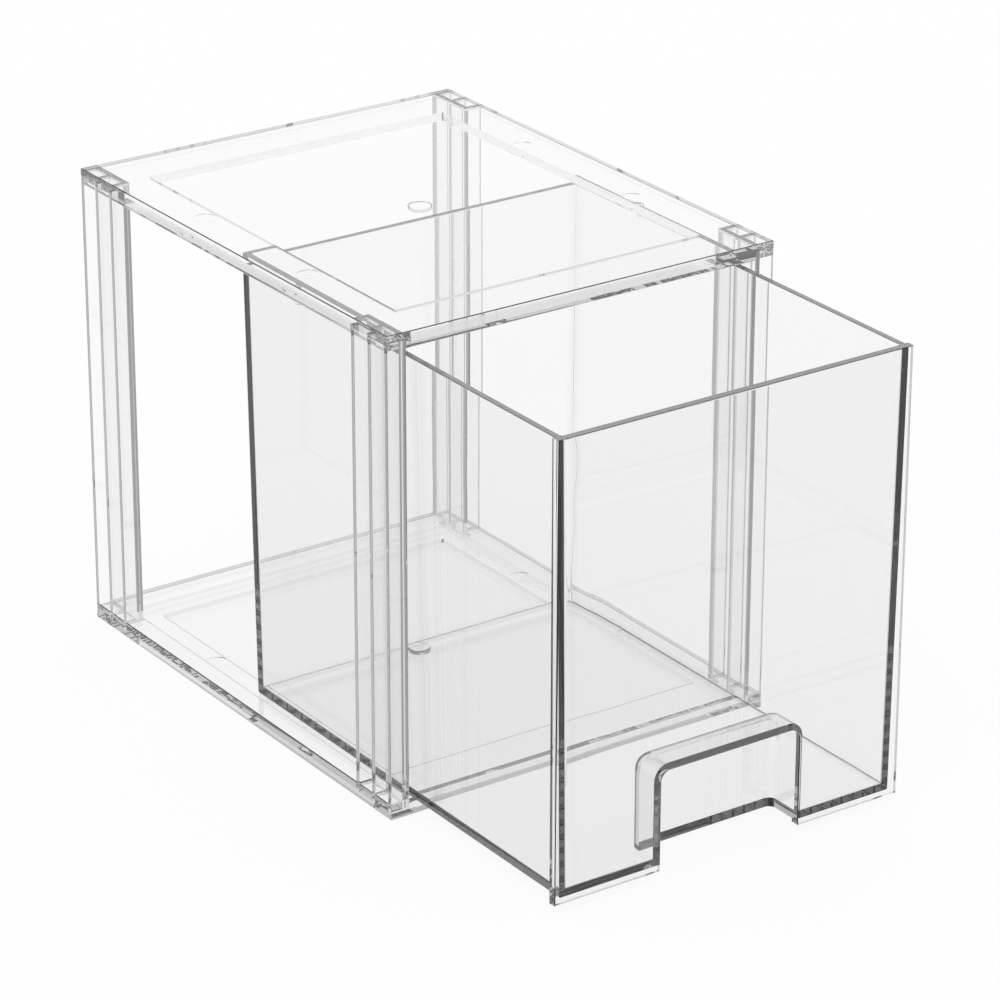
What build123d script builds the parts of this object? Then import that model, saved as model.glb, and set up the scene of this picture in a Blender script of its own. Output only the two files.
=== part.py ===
from build123d import *
from math import radians, tan
import os

# Stackable drawer box of clear moulded plastic, sizes in millimetres.
# Origin: centre of the underside of the case, +Z up, the drawer opens towards -Y.

# ---- case ----
CASE_WIDTH = 150.0
CASE_DEPTH = 188.0
CASE_HEIGHT = 167.2

# ---- plates: a slab with a shallow recess, and in the lower one a running surface ----
PLATE_THICKNESS = 5.5
SKIN_THICKNESS = 2.4
RUNWAY_HEIGHT = 4.0
BACK_RAIL_WIDTH = 8.8
RECESS_SIDE_MARGIN = 15.5
RECESS_END_MARGIN = 19.0
RECESS_CORNER_RADIUS = 0.8
PLATE_EDGE_RADIUS = 0.35
GATE_DIAMETER = 8.2
GATE_HEIGHT = 1.3
GATE_EDGE_RADIUS = 0.6
PIN_DIAMETER = 8.0
PIN_DEPTH = 0.2
PIN_PITCH = 63.0

# ---- corner posts: E-shaped section, web inboard, three prongs outboard ----
POST_LENGTH = 20.5
POST_DEPTH = 6.9
POST_WEB = 2.0
POST_PRONG = 1.8
POST_TIP_RADIUS = 0.25
SOCKET_CLEARANCE = 0.1

# ---- drawer: tapered open box and front panel in one moulding ----
OPENING_AT_REST = 80.7
RIM_DROP = 3.0
PANEL_THICKNESS = 3.0
PANEL_EDGE_RADIUS = 0.5
PANEL_SIDE_CLEARANCE = 0.4
PANEL_SKIN_CLEARANCE = 0.3
RUNNING_CLEARANCE = 0.3
CLOSING_CLEARANCE = 0.3
WALL_THICKNESS = 2.3
FLOOR_THICKNESS = 2.6
WALL_INSET = 1.3
SIDE_DRAFT = 0.63
BACK_DRAFT = 0.41
BODY_CORNER_RADIUS = 1.0
BODY_BOTTOM_RADIUS = 0.6
CAVITY_CORNER_RADIUS = 0.8
CAVITY_FLOOR_RADIUS = 0.5
RIM_EDGE_RADIUS = 0.3

# ---- finger pull: pocket open to the front and below ----
POCKET_WIDTH = 54.4
POCKET_HEIGHT = 34.7
POCKET_DEPTH = 14.0
POCKET_WALL = 2.0
POCKET_CORNER_RADIUS = 3.5
POCKET_BACK_RADIUS = 2.5
POCKET_LIP_RADIUS = 0.6

# ---- stop nubs on the drawer walls ----
NUB_FROM_BACK = 34.3
NUB_LENGTH = 3.6
NUB_HEIGHT = 2.5
NUB_CATCH = 0.45

# ---- sizes that follow ----
HALF_WIDTH = CASE_WIDTH / 2
HALF_DEPTH = CASE_DEPTH / 2
RAIL_WIDTH = POST_DEPTH + SOCKET_CLEARANCE
POST_BASE = SKIN_THICKNESS + SOCKET_CLEARANCE
POST_TOP = CASE_HEIGHT - POST_BASE
RIM_LEVEL = CASE_HEIGHT - PLATE_THICKNESS - RIM_DROP
PANEL_HALF_WIDTH = HALF_WIDTH - POST_DEPTH - PANEL_SIDE_CLEARANCE
PANEL_BASE = SKIN_THICKNESS + PANEL_SKIN_CLEARANCE
BODY_BASE = RUNWAY_HEIGHT + RUNNING_CLEARANCE
BODY_HALF_WIDTH = HALF_WIDTH - POST_DEPTH - WALL_INSET
BODY_BACK = HALF_DEPTH - BACK_RAIL_WIDTH - CLOSING_CLEARANCE
BORDER_FRONT = PANEL_THICKNESS + CLOSING_CLEARANCE - HALF_DEPTH


def span(x0, x1, y0, y1, z0, z1):
    """Box between two corners."""
    centre = Pos((x0 + x1) / 2, (y0 + y1) / 2, (z0 + z1) / 2)
    return centre * Box(abs(x1 - x0), abs(y1 - y0), abs(z1 - z0))


def post_section(grow=0.0):
    """E-shaped section of the front left post, made larger all round by grow."""
    left = -HALF_WIDTH
    front = -HALF_DEPTH
    web = Pos(left + POST_DEPTH - POST_WEB / 2, front + POST_LENGTH / 2)
    section = web * Rectangle(POST_WEB + 2 * grow, POST_LENGTH + 2 * grow)
    for step in (0, 1, 2):
        middle = front + POST_PRONG / 2 + step * (POST_LENGTH - POST_PRONG) / 2
        prong = Pos(left + POST_DEPTH / 2, middle)
        section += prong * Rectangle(POST_DEPTH + 2 * grow, POST_PRONG + 2 * grow)
    return section


def at_all_corners(shape):
    """The front left shape and its images at the other three corners."""
    turned = Rot(0, 0, 180) * shape
    return [shape, mirror(shape, Plane.YZ), mirror(shape, Plane.XZ), turned]


def recess():
    """Shallow recess with rounded corners in the middle of a plate's inner side."""
    width = CASE_WIDTH - 2 * RECESS_SIDE_MARGIN
    depth = CASE_DEPTH - 2 * RECESS_END_MARGIN
    outline = RectangleRounded(width, depth, RECESS_CORNER_RADIUS)
    return Pos(0, 0, SKIN_THICKNESS) * extrude(outline, PLATE_THICKNESS)


def runway():
    """Space above the level the drawer runs on, between the rails."""
    half = HALF_WIDTH - RAIL_WIDTH
    back = HALF_DEPTH - BACK_RAIL_WIDTH
    return span(-half, half, BORDER_FRONT, back, RUNWAY_HEIGHT, 2 * PLATE_THICKNESS)


def front_step():
    """Step that lets the front panel close flush with the plate's front edge."""
    half = HALF_WIDTH - RAIL_WIDTH
    front = -HALF_DEPTH - PLATE_THICKNESS
    return span(-half, half, front, BORDER_FRONT, SKIN_THICKNESS, 2 * PLATE_THICKNESS)


def slab():
    """Plate with its outer face on z = 0, its inner side up and the recess cut in it."""
    solid = span(-HALF_WIDTH, HALF_WIDTH, -HALF_DEPTH, HALF_DEPTH, 0, PLATE_THICKNESS)
    rims = solid.edges().filter_by(Axis.Z, reverse=True)
    return fillet(rims, PLATE_EDGE_RADIUS) - recess()


def gate_boss():
    """Round boss left by the gate in the middle of the recess."""
    disc = extrude(Circle(GATE_DIAMETER / 2), SKIN_THICKNESS / 2 + GATE_HEIGHT)
    crown = disc.edges().group_by(Axis.Z)[-1]
    return Pos(0, 0, SKIN_THICKNESS / 2) * fillet(crown, GATE_EDGE_RADIUS)


def finished(solid, border):
    """The plate with its post sockets, gate boss and the pin marks in its border."""
    socket = extrude(post_section(SOCKET_CLEARANCE), PLATE_THICKNESS)
    solid -= [Pos(0, 0, SKIN_THICKNESS) * one for one in at_all_corners(socket)]
    solid += gate_boss()
    pin_x = HALF_WIDTH - (RAIL_WIDTH + RECESS_SIDE_MARGIN) / 2
    for x in (-pin_x, pin_x):
        for y in (-PIN_PITCH / 2, PIN_PITCH / 2):
            pin = Pos(x, y, border - PIN_DEPTH)
            solid -= pin * extrude(Circle(PIN_DIAMETER / 2), PLATE_THICKNESS)
    return solid


def bottom_plate():
    """Lower plate: the drawer runs on it between the rails."""
    return finished(slab() - front_step() - runway(), RUNWAY_HEIGHT)


def top_plate():
    """Upper plate, turned over."""
    return Pos(0, 0, CASE_HEIGHT) * Rot(0, 180, 0) * finished(slab(), PLATE_THICKNESS)


def post():
    """Front left post, standing between the two socket floors."""
    solid = Pos(0, 0, POST_BASE) * extrude(post_section(), POST_TOP - POST_BASE)
    tips = solid.edges().filter_by(Axis.Z).group_by(Axis.X)[0]
    return fillet(tips, POST_TIP_RADIUS)


def drafted_block(inset, front, base, lean_from, corner):
    """Block inside the drawer walls, inset from their outer faces, open above."""
    sections = []
    for level in (base, RIM_LEVEL):
        drop = RIM_LEVEL - level
        half = BODY_HALF_WIDTH - inset - drop * tan(radians(SIDE_DRAFT))
        back = BODY_BACK - inset - drop * tan(radians(BACK_DRAFT))
        corners = [(-half, front), (half, front), (half, back), (-half, back)]
        outline = make_face(Polyline(*corners, close=True))
        rounded = outline.vertices().group_by(Axis.Y)[lean_from:]
        points = [point for group in rounded for point in group]
        sections.append(Pos(0, 0, level) * fillet(points, corner))
    return loft(sections)


def pocket_block(wall, front, back, base):
    """Block of the finger pull with a rounded top and back, larger than the pocket by wall."""
    half = POCKET_WIDTH / 2 + wall
    top = PANEL_BASE + POCKET_HEIGHT + wall
    solid = span(-half, half, front, back + wall, base, top)
    shoulders = solid.edges().filter_by(Axis.Y).group_by(Axis.Z)[-1]
    solid = fillet(shoulders, POCKET_CORNER_RADIUS + wall)
    rear = solid.faces().sort_by(Axis.Y)[-1].edges().sort_by(Axis.Z)[1:]
    return fillet(rear, POCKET_BACK_RADIUS + wall)


def nub(side):
    """Stop nub on one wall: square towards the front, ramped towards the back."""
    tip = HALF_WIDTH - POST_DEPTH + NUB_CATCH
    root = BODY_HALF_WIDTH - WALL_THICKNESS / 2
    middle = BODY_BACK - NUB_FROM_BACK
    front = middle - NUB_LENGTH / 2
    back = middle + NUB_LENGTH / 2
    flat = front + NUB_LENGTH / 3
    corners = [(side * root, front), (side * tip, front), (side * tip, flat), (side * root, back)]
    outline = make_face(Polyline(*corners, close=True))
    return Pos(0, 0, RIM_LEVEL - NUB_HEIGHT) * extrude(outline, NUB_HEIGHT, dir=(0, 0, 1))


def panel():
    """Front panel, wider and deeper than the box behind it."""
    back = PANEL_THICKNESS - HALF_DEPTH
    solid = span(-PANEL_HALF_WIDTH, PANEL_HALF_WIDTH, -HALF_DEPTH, back, PANEL_BASE, RIM_LEVEL)
    rim = solid.faces().sort_by(Axis.Y)[0].edges()
    return fillet(rim, PANEL_EDGE_RADIUS)


def soft_rim(shell):
    """Shell with the upper edges of its walls rounded."""
    rim = shell.faces().sort_by(Axis.Z)[-1]
    behind_panel = PANEL_THICKNESS + WALL_THICKNESS - HALF_DEPTH
    edges = rim.inner_wires()[0].edges()
    edges += [edge for edge in rim.outer_wire().edges() if edge.center().Y > behind_panel]
    return fillet(edges, RIM_EDGE_RADIUS)


def drawer():
    """Drawer in its closed place."""
    inner_front = PANEL_THICKNESS - HALF_DEPTH
    body = drafted_block(0, inner_front - PANEL_THICKNESS / 2, BODY_BASE, -1, BODY_CORNER_RADIUS)
    under = body.faces().sort_by(Axis.Z)[0].edges()
    under = [edge for edge in under if edge.center().Y > inner_front]
    body = fillet(under, BODY_BOTTOM_RADIUS)
    cavity_base = BODY_BASE + FLOOR_THICKNESS
    cavity = drafted_block(WALL_THICKNESS, inner_front, cavity_base, 0, CAVITY_CORNER_RADIUS)
    bottom = cavity.faces().sort_by(Axis.Z)[0].edges()
    cavity = fillet(bottom, CAVITY_FLOOR_RADIUS)
    pocket_back = POCKET_DEPTH - HALF_DEPTH
    shell = body - cavity
    shell += panel()
    shell += pocket_block(POCKET_WALL, inner_front - PANEL_THICKNESS / 2, pocket_back, BODY_BASE)
    shell -= pocket_block(0, -HALF_DEPTH - POCKET_DEPTH, pocket_back, -PLATE_THICKNESS)
    lip = [
        edge
        for edge in shell.edges().group_by(Axis.Y)[0]
        if abs(edge.center().X) < POCKET_WIDTH / 2 + 0.1
        and PANEL_BASE + 0.01 < edge.center().Z < PANEL_BASE + POCKET_HEIGHT + 0.1
    ]
    shell = soft_rim(fillet(lip, POCKET_LIP_RADIUS))
    shell += [nub(-1), nub(1)]
    return shell


def parts():
    """Every separate piece by name, placed as it stands in the box at rest."""
    corner_names = ("post_front_left", "post_front_right", "post_back_left", "post_back_right")
    named = {"bottom_plate": bottom_plate(), "top_plate": top_plate()}
    named.update(zip(corner_names, at_all_corners(post())))
    named["drawer"] = Pos(0, -OPENING_AT_REST, 0) * drawer()
    return named


os.makedirs("parts", exist_ok=True)
for name, shape in parts().items():
    solids = shape.solids()
    if len(solids) != 1:
        raise ValueError(f"{name} is {len(solids)} solids")
    export_step(solids[0], f"parts/{name}.step")
    print(name, round(shape.volume), shape.bounding_box())
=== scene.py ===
"""Stackable drawer box of clear moulded polystyrene, dressed and lit on a pale studio floor.

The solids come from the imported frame. This script gives each of them its clear plastic, sets the
studio round them and places the camera. Lengths are in metres, or in millimetres where a name ends
in _mm, and in the frame's own axes: the origin is the centre of the case's underside, +Z is up and
the drawer opens towards -Y.
"""

from __future__ import annotations

import logging
import math
from dataclasses import dataclass, field
from enum import Enum
from typing import Any

import bpy
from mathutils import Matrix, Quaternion, Vector

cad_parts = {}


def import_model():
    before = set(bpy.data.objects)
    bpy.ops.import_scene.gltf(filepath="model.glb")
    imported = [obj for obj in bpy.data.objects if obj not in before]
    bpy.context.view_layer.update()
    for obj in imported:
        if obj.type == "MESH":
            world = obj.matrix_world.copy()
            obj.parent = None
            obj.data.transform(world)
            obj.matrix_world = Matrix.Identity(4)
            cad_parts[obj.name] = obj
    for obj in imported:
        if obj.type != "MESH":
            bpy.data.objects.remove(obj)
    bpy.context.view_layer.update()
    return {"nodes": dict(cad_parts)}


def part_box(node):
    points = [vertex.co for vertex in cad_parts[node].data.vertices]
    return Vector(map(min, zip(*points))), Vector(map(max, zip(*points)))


LOG = logging.getLogger("drawer_box")
MM = 0.001

WHITE = (1.0, 1.0, 1.0, 1.0)
BLACK = (0.0, 0.0, 0.0, 1.0)

# The sRGB curve: a straight foot, then a power of the value with an offset.
SRGB_FOOT_END = 0.04045
SRGB_FOOT_SLOPE = 12.92
SRGB_OFFSET = 0.055
SRGB_POWER = 2.4


class Corner(Enum):
    """The four corners of the case, as the post nodes are named."""

    FRONT_LEFT = "post_front_left"
    FRONT_RIGHT = "post_front_right"
    BACK_LEFT = "post_back_left"
    BACK_RIGHT = "post_back_right"


class Tree:
    """A node tree that is filled one node at a time."""

    def __init__(self, owner: Any) -> None:
        """Empties the node tree of a material or world.

        Args:
            owner: The material or world.
        """
        owner.use_nodes = True
        self.tree = owner.node_tree
        self.tree.nodes.clear()

    def add(self, kind: str, inputs: dict[Any, Any] | None = None, **settings: Any) -> Any:
        """Adds one node, sets it up and fills or links its inputs.

        Args:
            kind: The node's type, without the ShaderNode prefix.
            inputs: Input name or number to a plain value, or to the output socket that feeds it.
            settings: Attributes of the node itself.

        Returns:
            The new node.
        """
        node = self.tree.nodes.new("ShaderNode" + kind)
        for key, value in settings.items():
            setattr(node, key, value)
        for key, value in (inputs or {}).items():
            if isinstance(value, bpy.types.NodeSocket):
                self.tree.links.new(value, node.inputs[key])
            else:
                node.inputs[key].default_value = value
        return node


def linear(code: str) -> tuple[float, float, float, float]:
    """Turns an sRGB hex colour into the linear colour that the nodes take.

    Args:
        code: Six hex digits.

    Returns:
        Red, green, blue and an alpha of 1.
    """
    red, green, blue = (
        part / SRGB_FOOT_SLOPE
        if part <= SRGB_FOOT_END
        else ((part + SRGB_OFFSET) / (1 + SRGB_OFFSET)) ** SRGB_POWER
        for part in (value / 255 for value in bytes.fromhex(code))
    )
    return (red, green, blue, 1.0)


@dataclass(frozen=True)
class ClearPolystyrene:
    """Injection-moulded clear polystyrene, polished in the tool.

    It looks like thin clear glass: bright seen through its face, and grey along its edges, because
    light that runs lengthwise in a wall is slowly taken up. Its faces are very slightly uneven
    from shrinking in the mould, so lines seen through two walls waver. A finish with a ripple
    height of 0 has no ripples, and one with a satin share of 0 has no matt faces.
    """

    name: str
    tint: str = "ffffff"
    ior: float = 1.59
    roughness: float = 0.0
    loss_per_mm: float = 0.0015

    # The long waves of all faces.
    wave_length_mm: float = 26.0
    wave_height_mm: float = 0.02
    wave_detail: float = 1.0

    # The shorter ripples of a panel, whose front face lies at ripple_front on the Y axis.
    ripple_length_mm: float = 15.0
    ripple_height_mm: float = 0.0
    ripple_half_width_mm: float = 57.0
    ripple_depth_mm: float = 4.0
    ripple_squeeze: float = 6.0
    ripple_front: float = 0.0

    # The slightly matt faces, which lie above this level on the Z axis.
    satin_share: float = 0.0
    satin_above: float = 0.0

    def waves(self, tree: Tree, place: bpy.types.NodeSocket) -> bpy.types.NodeSocket:
        """Adds the long waves that shrinking in the mould leaves in every face.

        Args:
            tree: The tree to add to.
            place: The point on the piece.

        Returns:
            The output socket with the normal.
        """
        noise = tree.add(
            "TexNoise",
            {"Vector": place, "Scale": 1 / (self.wave_length_mm * MM), "Detail": self.wave_detail},
        )
        bump = tree.add(
            "Bump",
            {
                "Height": noise.outputs["Fac"],
                "Strength": 1.0,
                "Distance": self.wave_height_mm * MM,
            },
        )
        return bump.outputs["Normal"]

    def rippled_part(self, tree: Tree, place: bpy.types.NodeSocket) -> bpy.types.NodeSocket:
        """Finds the sides of the panel: 0 in its middle and behind it, rising to 1 at its sides.

        Args:
            tree: The tree to add to.
            place: The point on the piece.

        Returns:
            The output socket.
        """
        axes = tree.add("SeparateXYZ", {0: place})
        from_middle = tree.add("Math", {0: axes.outputs["X"]}, operation="ABSOLUTE")
        grown = tree.add(
            "MapRange",
            {
                "Value": from_middle.outputs[0],
                "From Min": (self.ripple_half_width_mm - self.ripple_length_mm) * MM,
                "From Max": self.ripple_half_width_mm * MM,
            },
            interpolation_type="SMOOTHSTEP",
        )
        from_front = tree.add(
            "Math", {0: axes.outputs["Y"], 1: self.ripple_front}, operation="SUBTRACT"
        )
        in_panel = tree.add(
            "Math", {0: from_front.outputs[0], 1: self.ripple_depth_mm * MM}, operation="LESS_THAN"
        )
        part = tree.add("Math", {0: grown.outputs[0], 1: in_panel.outputs[0]}, operation="MULTIPLY")
        return part.outputs[0]

    def ripples(
        self, tree: Tree, place: bpy.types.NodeSocket, base: bpy.types.NodeSocket
    ) -> bpy.types.NodeSocket:
        """Adds the stronger ripples where the melt flows into the side edges of the panel.

        They change quickly through the panel's thickness, so that its two faces differ and it
        bends the lines seen through it.

        Args:
            tree: The tree to add to.
            place: The point on the piece.
            base: The normal that the ripples are added to.

        Returns:
            The output socket with the new normal.
        """
        squeezed = tree.add("Mapping", {"Vector": place, "Scale": (1.0, self.ripple_squeeze, 1.0)})
        noise = tree.add(
            "TexNoise",
            {"Vector": squeezed.outputs[0], "Scale": 1 / (self.ripple_length_mm * MM), "Detail": 0.0},
        )
        height = tree.add(
            "Math",
            {0: noise.outputs["Fac"], 1: self.rippled_part(tree, place)},
            operation="MULTIPLY",
        )
        bump = tree.add(
            "Bump",
            {
                "Height": height.outputs[0],
                "Strength": 1.0,
                "Distance": self.ripple_height_mm * MM,
                "Normal": base,
            },
        )
        return bump.outputs["Normal"]

    def satin(
        self, tree: Tree, place: bpy.types.NodeSocket, clear: bpy.types.NodeSocket
    ) -> bpy.types.NodeSocket:
        """Makes the topmost faces slightly matt, as the parting face of the mould leaves them.

        Args:
            tree: The tree to add to.
            place: The point on the piece.
            clear: The clear surface.

        Returns:
            The output socket with the mixed surface.
        """
        axes = tree.add("SeparateXYZ", {0: place})
        topmost = tree.add(
            "Math", {0: axes.outputs["Z"], 1: self.satin_above}, operation="GREATER_THAN"
        )
        share = tree.add("Math", {0: topmost.outputs[0], 1: self.satin_share}, operation="MULTIPLY")
        matt = tree.add("BsdfDiffuse", {"Color": linear(self.tint)})
        mixed = tree.add("MixShader", {0: share.outputs[0], 1: clear, 2: matt.outputs["BSDF"]})
        return mixed.outputs[0]

    def build(self) -> bpy.types.Material:
        """Makes the material: the clear surface, with the plastic's absorption inside.

        Returns:
            The new material.
        """
        material = bpy.data.materials.new(self.name)
        tree = Tree(material)
        place = tree.add("TexCoord").outputs["Object"]
        normal = self.waves(tree, place)
        if self.ripple_height_mm:
            normal = self.ripples(tree, place, normal)
        clear = tree.add(
            "BsdfPrincipled",
            {
                "Base Color": linear(self.tint),
                "IOR": self.ior,
                "Roughness": self.roughness,
                "Transmission Weight": 1.0,
                "Normal": normal,
            },
        )
        surface = clear.outputs["BSDF"]
        if self.satin_share:
            surface = self.satin(tree, place, surface)
        inside = tree.add("VolumeAbsorption", {"Color": BLACK, "Density": self.loss_per_mm / MM})
        tree.add("OutputMaterial", {"Surface": surface, "Volume": inside.outputs["Volume"]})
        return material


def put_material(piece: bpy.types.Object, material: bpy.types.Material) -> None:
    """Assigns one material to every slot of a piece.

    Args:
        piece: The object to dress.
        material: Its material.
    """
    slots = piece.data.materials
    if not slots:
        slots.append(material)
    for index in range(len(slots)):
        slots[index] = material
    LOG.info("%s is dressed in %s", piece.name, material.name)


@dataclass
class Case:
    """The fixed case: two plates and four posts."""

    plates: tuple[str, ...] = ("bottom_plate", "top_plate")
    posts: tuple[Corner, ...] = tuple(Corner)
    finish: ClearPolystyrene = field(default_factory=lambda: ClearPolystyrene("case polystyrene"))

    def dress(self, nodes: dict[str, bpy.types.Object]) -> None:
        """Gives the plates and posts their clear plastic.

        Args:
            nodes: The frame's nodes by name.
        """
        material = self.finish.build()
        for name in self.plates + tuple(post.value for post in self.posts):
            put_material(nodes[name], material)


@dataclass
class Drawer:
    """The drawer: open box, front panel, finger pull and stop nubs in one moulding."""

    node: str = "drawer"
    loss_per_mm: float = 0.009
    ripple_height_mm: float = 0.08
    satin_share: float = 0.2
    satin_depth_mm: float = 0.1

    def dress(self, nodes: dict[str, bpy.types.Object]) -> None:
        """Gives the drawer its clear plastic, with a rippled front panel and a matt rim.

        Args:
            nodes: The frame's nodes by name.
        """
        lowest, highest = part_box(self.node)
        finish = ClearPolystyrene(
            "drawer polystyrene",
            loss_per_mm=self.loss_per_mm,
            ripple_height_mm=self.ripple_height_mm,
            ripple_front=lowest[1],
            satin_share=self.satin_share,
            satin_above=highest[2] - self.satin_depth_mm * MM,
        )
        put_material(nodes[self.node], finish.build())


@dataclass(frozen=True)
class Studio:
    """Pale floor, white surroundings, a dimmer ceiling and one broad soft lamp.

    The camera and the plastic see a white floor and white surroundings. In the plastic they dim
    with each reflection, in place of the darker sides of a real studio, and that draws the grey
    lines of the edges. The light on the floor comes from the dimmer surroundings and the lamp.
    """

    # The floor reaches this far from the middle and lies this far under the case. The glow is the
    # share of it that is plain white where it is seen, and the rest is paint with its shadow.
    floor_reach: float = 12.0
    floor_drop: float = 0.0003
    floor_colour: str = "fbfbfb"
    floor_glow: float = 0.93

    # What one reflection leaves of the floor and of the surroundings, and how many count.
    floor_reflected: float = 0.68
    world_reflected: float = 0.97
    most_reflections: float = 5.0

    # The ceiling's strength in the plastic, and the rise of a direction at which it starts and
    # at which it is full.
    ceiling: float = 0.2
    ceiling_starts: float = 0.3
    ceiling_full: float = 0.8

    # The light that falls on the floor: from all round, and from the lamp.
    diffuse_strength: float = 0.85
    sun_strength: float = 0.55
    sun_degrees: float = 50.0
    sun_from: tuple[float, float, float] = (-0.5, -0.3, 1.0)

    def build(self) -> None:
        """Makes the floor, the world and the lamp."""
        self.make_floor()
        self.make_world()
        self.make_sun()

    def seen(self, tree: Tree) -> bpy.types.NodeSocket:
        """Finds what is seen: 1 for the camera, a reflection or through the plastic, 0 for light.

        Args:
            tree: The tree to add to.

        Returns:
            The output socket.
        """
        path = tree.add("LightPath")
        kinds = ("Is Camera Ray", "Is Glossy Ray", "Is Transmission Ray")
        total = path.outputs[kinds[0]]
        for kind in kinds[1:]:
            either = tree.add("Math", {0: total, 1: path.outputs[kind]}, operation="MAXIMUM")
            total = either.outputs[0]
        return total

    def after_reflections(self, tree: Tree, share: float) -> bpy.types.NodeSocket:
        """Finds what is left of the white after the reflections on the way to the camera.

        It is the share to the power of the number of reflections, and no more than
        most_reflections of them count.

        Args:
            tree: The tree to add to.
            share: What one reflection leaves.

        Returns:
            The output socket.
        """
        path = tree.add("LightPath")
        count = tree.add(
            "Math", {0: path.outputs["Glossy Depth"], 1: self.most_reflections}, operation="MINIMUM"
        )
        return tree.add("Math", {0: share, 1: count.outputs[0]}, operation="POWER").outputs[0]

    def make_floor(self) -> None:
        """Makes the flat floor, just under the case: white where it is seen, under a faint shadow."""
        reach, level = self.floor_reach, -self.floor_drop
        corners = ((-1, -1), (1, -1), (1, 1), (-1, 1))
        mesh = bpy.data.meshes.new("floor")
        mesh.from_pydata([(x * reach, y * reach, level) for x, y in corners], [], [(0, 1, 2, 3)])
        floor = bpy.data.objects.new("floor", mesh)
        bpy.context.scene.collection.objects.link(floor)
        material = bpy.data.materials.new("pale floor")
        tree = Tree(material)
        paint = tree.add("BsdfDiffuse", {"Color": linear(self.floor_colour)})
        left = self.after_reflections(tree, self.floor_reflected)
        glow = tree.add("Emission", {"Color": WHITE, "Strength": left})
        share = tree.add("Math", {0: self.seen(tree), 1: self.floor_glow}, operation="MULTIPLY")
        both = tree.add(
            "MixShader",
            {0: share.outputs[0], 1: paint.outputs["BSDF"], 2: glow.outputs["Emission"]},
        )
        tree.add("OutputMaterial", {"Surface": both.outputs[0]})
        put_material(floor, material)

    def make_world(self) -> None:
        """Makes the surroundings: white for the camera, dimming towards the ceiling in the plastic."""
        world = bpy.data.worlds.new("studio")
        bpy.context.scene.world = world
        tree = Tree(world)
        direction = tree.add("TexCoord").outputs["Generated"]
        axes = tree.add("SeparateXYZ", {0: direction})
        ceiling = tree.add(
            "MapRange",
            {
                "Value": axes.outputs["Z"],
                "From Min": self.ceiling_starts,
                "From Max": self.ceiling_full,
                "To Min": 1.0,
                "To Max": self.ceiling,
            },
            interpolation_type="SMOOTHSTEP",
        )
        path = tree.add("LightPath")
        to_camera = tree.add(
            "Math",
            {0: ceiling.outputs[0], 1: path.outputs["Is Camera Ray"]},
            operation="MAXIMUM",
        )
        left = self.after_reflections(tree, self.world_reflected)
        strength = tree.add("Math", {0: to_camera.outputs[0], 1: left}, operation="MULTIPLY")
        shown = tree.add("Background", {"Color": WHITE, "Strength": strength.outputs[0]})
        light = tree.add("Background", {"Color": WHITE, "Strength": self.diffuse_strength})
        both = tree.add(
            "MixShader",
            {0: self.seen(tree), 1: light.outputs[0], 2: shown.outputs[0]},
        )
        tree.add("OutputWorld", {"Surface": both.outputs[0]})

    def make_sun(self) -> None:
        """Makes the one broad soft lamp."""
        lamp = bpy.data.lights.new("soft sun", "SUN")
        lamp.energy = self.sun_strength
        lamp.angle = math.radians(self.sun_degrees)
        sun = bpy.data.objects.new("soft sun", lamp)
        sun.rotation_mode = "QUATERNION"
        sun.rotation_quaternion = Vector(self.sun_from).to_track_quat("Z", "Y")
        bpy.context.scene.collection.objects.link(sun)


@dataclass(frozen=True)
class Camera:
    """The photograph's camera: a long lens above the front left corner. Angles are in degrees."""

    place_mm: tuple[float, float, float] = (-787.71, -1184.18, 681.17)
    yaw: float = 34.705
    pitch: float = 23.59
    roll: float = 0.094
    lens_mm: float = 164.214
    sensor_mm: float = 36.0
    nearest: float = 0.05
    farthest: float = 60.0

    def build(self) -> None:
        """Makes the camera and gives it to the scene."""
        data = bpy.data.cameras.new("camera")
        data.lens = self.lens_mm
        data.sensor_width = self.sensor_mm
        data.clip_start = self.nearest
        data.clip_end = self.farthest
        camera = bpy.data.objects.new("camera", data)
        camera.location = Vector(self.place_mm) * MM
        yaw, pitch = math.radians(self.yaw), math.radians(self.pitch)
        ahead = Vector(
            (
                math.sin(yaw) * math.cos(pitch),
                math.cos(yaw) * math.cos(pitch),
                -math.sin(pitch),
            )
        )
        turn = Quaternion((0.0, 0.0, 1.0), math.radians(self.roll))
        camera.rotation_mode = "QUATERNION"
        camera.rotation_quaternion = ahead.to_track_quat("-Z", "Y") @ turn
        bpy.context.scene.collection.objects.link(camera)
        bpy.context.scene.camera = camera


@dataclass(frozen=True)
class Bounces:
    """How often light may turn: enough to pass the many clear walls, also lengthwise."""

    in_all: int = 44
    through_plastic: int = 44
    reflected: int = 36
    scattered: int = 3

    def build(self) -> None:
        """Gives the limits to the scene."""
        cycles = bpy.context.scene.cycles
        cycles.max_bounces = self.in_all
        cycles.transmission_bounces = self.through_plastic
        cycles.glossy_bounces = self.reflected
        cycles.diffuse_bounces = self.scattered


def main() -> None:
    """Loads the frame, dresses it and sets the studio and the camera."""
    logging.basicConfig(level=logging.INFO, format="%(message)s")
    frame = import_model()
    Case().dress(frame["nodes"])
    Drawer().dress(frame["nodes"])
    Studio().build()
    Camera().build()
    Bounces().build()
    bpy.context.scene.view_settings.view_transform = "Standard"


if __name__ == "__main__":
    main()
